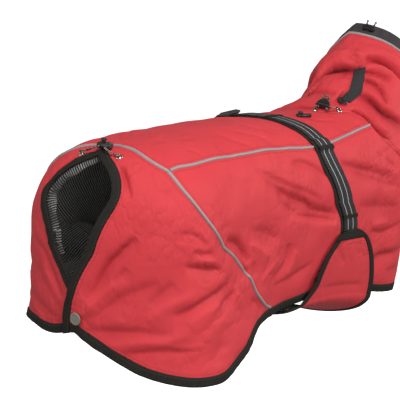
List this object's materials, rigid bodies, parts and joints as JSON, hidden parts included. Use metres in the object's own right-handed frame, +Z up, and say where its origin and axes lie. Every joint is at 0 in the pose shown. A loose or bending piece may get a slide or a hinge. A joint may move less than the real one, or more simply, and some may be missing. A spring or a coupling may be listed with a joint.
{
  "type": "dog winter coat",
  "caption": "Padded coat for a medium dog with a tall soft collar, a tail opening, a belt with a side-release buckle and a belly flap, in its worn hollow form.",
  "frame": {"origin": "inner face of the cloth over the wearer's spine, halfway along the back", "axes": "+X to the wearer's head, +Y to the wearer's left, +Z up"},
  "size_m": [0.7232, 0.2623, 0.3978],
  "materials": {
    "red_shell_cloth": "matt coated polyester",
    "black_binding_tape": "ribbed tape",
    "black_webbing": "woven webbing",
    "black_plastic": "moulded",
    "dark_grey_band": "smooth lining",
    "ribbed_lining": "ribbed",
    "reflective_piping": "reflective",
    "speckled_cord": "braided, flecked",
    "nickel": "plated"
  },
  "bodies": {
    "root": {"back_panel": "red_shell_cloth", "back_piping_left": "reflective_piping", "back_piping_right": "reflective_piping", "belly_flap": "red_shell_cloth", "belt_left": "black_webbing", "belt_loop_1": "black_webbing", "belt_loop_2": "black_webbing", "belt_loop_3": "black_webbing", "belt_over_back": "black_webbing", "belt_underlay": "black_binding_tape", "buckle_housing": "black_plastic", "buckle_tongue": "black_plastic", "collar_band": "dark_grey_band", "collar_piping": "reflective_piping", "collar_shell_left": "red_shell_cloth", "collar_shell_right": "red_shell_cloth", "flap_binding_front": "black_binding_tape", "flap_binding_rear": "black_binding_tape", "flap_binding_top": "black_binding_tape", "hem_binding_left": "black_binding_tape", "hem_binding_right": "black_binding_tape", "hip_panel_left": "red_shell_cloth", "hip_panel_right": "red_shell_cloth", "hip_piping_left": "reflective_piping", "hip_piping_right": "reflective_piping", "keeper_clip": "black_plastic", "keeper_strap": "black_webbing", "lead_slider": "black_plastic", "lead_slider_tab": "black_plastic", "neck_cord_left": "speckled_cord", "neck_cord_loop": "speckled_cord", "neck_cord_right": "speckled_cord", "neck_eyelet_left": "nickel", "neck_eyelet_right": "nickel", "neck_lock": "black_plastic", "rim_cord_left": "speckled_cord", "rim_cord_right": "speckled_cord", "rim_lock": "black_plastic", "side_panel_left": "red_shell_cloth", "side_panel_right": "red_shell_cloth", "snap_cap": "nickel", "tail_binding_left": "black_binding_tape", "tail_binding_right": "black_binding_tape", "tail_cord_left": "speckled_cord", "tail_cord_right": "speckled_cord", "tail_eyelet_left": "nickel", "tail_eyelet_right": "nickel", "tail_facing_left": "ribbed_lining", "tail_facing_right": "ribbed_lining", "tail_lock": "black_plastic", "tail_lock_knob": "black_plastic"}
  },
  "joints": []
}
